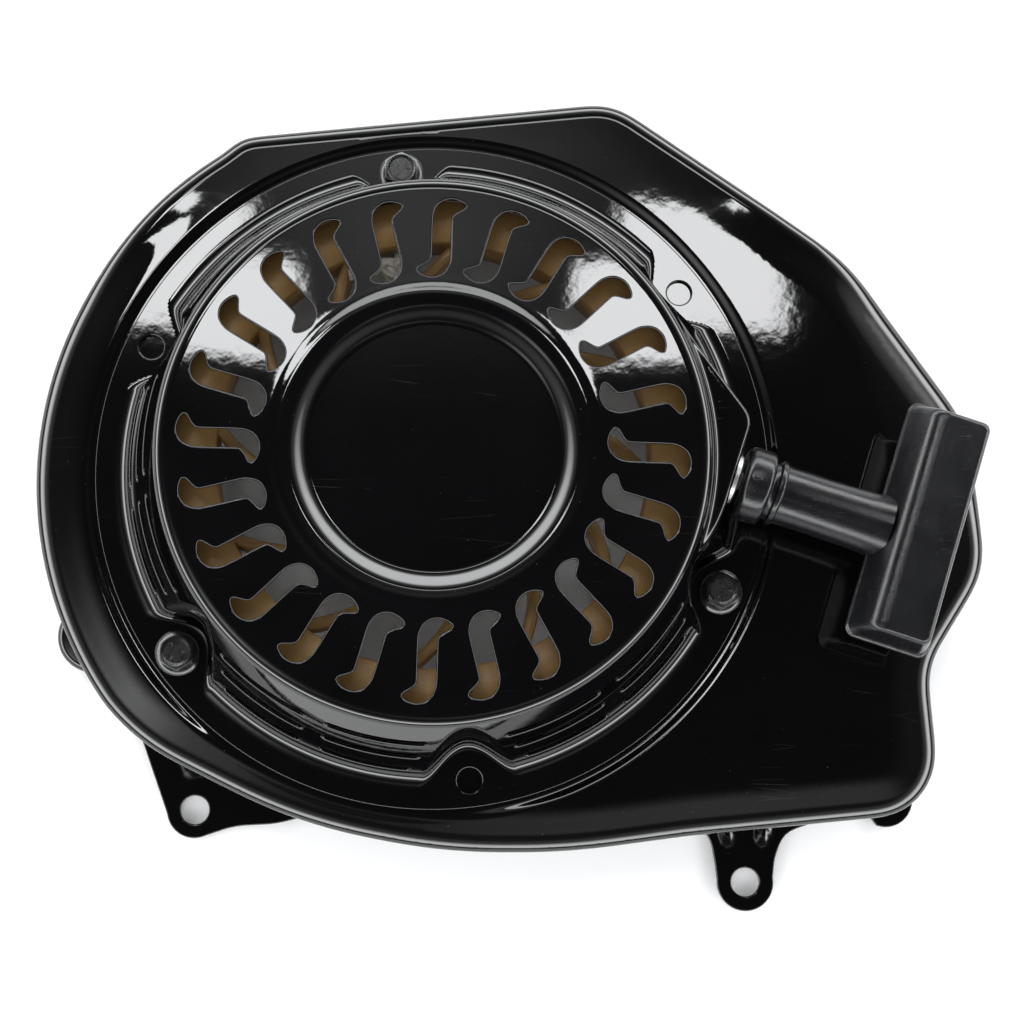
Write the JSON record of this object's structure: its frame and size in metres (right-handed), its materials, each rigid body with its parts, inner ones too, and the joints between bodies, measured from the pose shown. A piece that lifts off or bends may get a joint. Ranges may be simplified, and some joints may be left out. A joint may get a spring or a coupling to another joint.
{
  "type": "recoil starter",
  "caption": "Recoil starter on a pressed black blower housing: vented drum cover, rope reel, pawls and a T-shaped pull grip.",
  "frame": {"origin": "on the reel axis, in the plane that the fixing ears seat on", "axes": "+Z along the reel axis towards the outer cover, +X to the side that the grip pulls out"},
  "size_m": [0.2941, 0.2565, 0.076],
  "materials": {
    "enamel_black": "gloss",
    "bolt_black": "satin",
    "zinc_steel": "satin",
    "spring_steel": "satin",
    "tan_plastic": "satin",
    "grip_plastic": "satin",
    "rope": "matte"
  },
  "bodies": {
    "root": {"blower_housing": "enamel_black", "starter_case": "enamel_black", "case_bolt_1": "bolt_black", "case_bolt_2": "bolt_black", "case_bolt_3": "bolt_black", "weld_nut_1": "zinc_steel", "weld_nut_2": "zinc_steel", "weld_nut_3": "zinc_steel", "reel_post": "zinc_steel", "rope_guide": "zinc_steel", "recoil_spring": "spring_steel", "rope_lead": "rope", "friction_spring": "spring_steel", "spring_washer": "zinc_steel", "centre_screw": "zinc_steel"},
    "reel": {"rope_reel": "tan_plastic", "wound_rope": "rope", "reel_knot": "rope", "pawl_spring_a": "spring_steel", "pawl_spring_b": "spring_steel"},
    "pawl_a": {"pawl_a": "zinc_steel"},
    "pawl_b": {"pawl_b": "zinc_steel"},
    "guide": {"ratchet_guide": "zinc_steel"},
    "grip": {"pull_grip": "grip_plastic", "grip_insert": "zinc_steel", "grip_rope": "rope", "grip_knot": "rope"}
  },
  "joints": [
    {"name": "grip_pull", "type": "slide", "parent": "root", "child": "grip", "axis": [0.9511, -0.309, 0], "range_m": [0, 1.4], "stiffness_N_per_m": 8, "springref_m": -1},
    {"name": "reel_spin", "type": "hinge", "parent": "root", "child": "reel", "pos_m": [0, 0, 0.055], "axis": [0, 0, -1], "range_deg": [0, 1150]},
    {"name": "pawl_a_swing", "type": "hinge", "parent": "reel", "child": "pawl_a", "pos_m": [0.027, 0, 0.0456], "axis": [0, 0, 1], "range_deg": [0, 28], "stiffness_Nm_per_rad": 0.004, "springref_deg": -17.19},
    {"name": "pawl_b_swing", "type": "hinge", "parent": "reel", "child": "pawl_b", "pos_m": [-0.027, 0, 0.0456], "axis": [0, 0, 1], "range_deg": [0, 28]},
    {"name": "guide_lag", "type": "hinge", "parent": "reel", "child": "guide", "pos_m": [0, 0, 0.04], "axis": [0, 0, 1], "range_deg": [0, 14]}
  ],
  "couplings": [
    {"joint": "reel_spin", "follows": "grip_pull", "rad_per_m": 14.286},
    {"joint": "pawl_b_swing", "follows": "pawl_a_swing", "ratio": 1},
    {"joint": "guide_lag", "follows": "pawl_a_swing", "ratio": 0.5}
  ]
}
